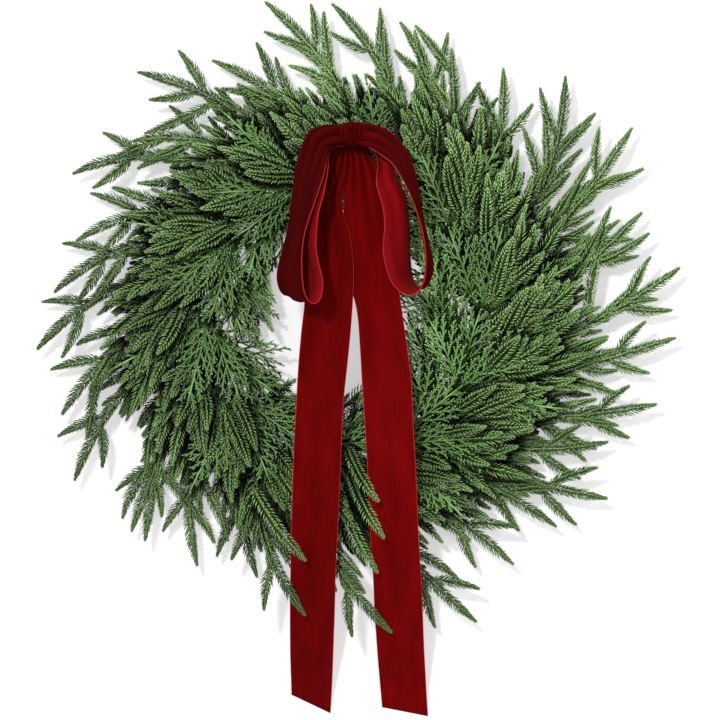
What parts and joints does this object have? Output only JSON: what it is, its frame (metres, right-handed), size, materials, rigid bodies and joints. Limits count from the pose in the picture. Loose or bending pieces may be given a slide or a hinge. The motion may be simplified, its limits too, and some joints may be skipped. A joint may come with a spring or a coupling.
{
  "type": "fresh evergreen wreath",
  "caption": "Round evergreen wreath of swirling pine sprays and flat cedar fans bound to a wire ring, with a red velvet ribbon bow and long tails.",
  "frame": {"origin": "on the surface that the wreath's back lies on, under the middle of its outline with the ribbon tails", "axes": "+Z out of the wreath's face, away from the surface; +Y from the cut ends of the tails towards the bow, the top of the wreath as it is seen in use; +X to the right as seen from the front"},
  "size_m": [0.637, 0.7116, 0.1448],
  "materials": {
    "pine": "fresh dark green needles on a woody twig",
    "cedar": "fresh yellow-green scale leaves on flat branchlets",
    "velvet": "deep red velvet with a satin back",
    "frame_wire": "green lacquered steel wire",
    "binding_wire": "green lacquered florist's wire"
  },
  "bodies": {
    "root": {"wire_frame": "frame_wire", "binding_wire": "binding_wire", "bow_wire": "binding_wire", "pine_outer_01": "pine", "pine_outer_02": "pine", "pine_outer_03": "pine", "pine_outer_04": "pine", "pine_outer_05": "pine", "pine_outer_06": "pine", "pine_outer_07": "pine", "pine_outer_08": "pine", "pine_outer_09": "pine", "pine_outer_10": "pine", "pine_outer_11": "pine", "pine_outer_12": "pine", "pine_outer_13": "pine", "pine_outer_14": "pine", "pine_outer_15": "pine", "pine_outer_16": "pine", "pine_outer_17": "pine", "pine_outer_18": "pine", "pine_outer_19": "pine", "pine_outer_20": "pine", "pine_outer_21": "pine", "pine_outer_22": "pine", "pine_outer_23": "pine", "pine_outer_24": "pine", "pine_outer_25": "pine", "pine_outer_26": "pine", "pine_outer_27": "pine", "pine_outer_28": "pine", "pine_outer_29": "pine", "pine_outer_30": "pine", "pine_middle_01": "pine", "pine_middle_02": "pine", "pine_middle_03": "pine", "pine_middle_04": "pine", "pine_middle_05": "pine", "pine_middle_06": "pine", "pine_middle_07": "pine", "pine_middle_08": "pine", "pine_middle_09": "pine", "pine_middle_10": "pine", "pine_middle_11": "pine", "cedar_01": "cedar", "cedar_02": "cedar", "cedar_03": "cedar", "cedar_04": "cedar", "cedar_05": "cedar", "cedar_06": "cedar", "cedar_07": "cedar", "cedar_08": "cedar", "cedar_09": "cedar", "cedar_10": "cedar", "bow_knot": "velvet", "bow_loop_left": "velvet", "bow_loop_right": "velvet", "bow_tail_left": "velvet", "bow_tail_right": "velvet"}
  },
  "joints": []
}
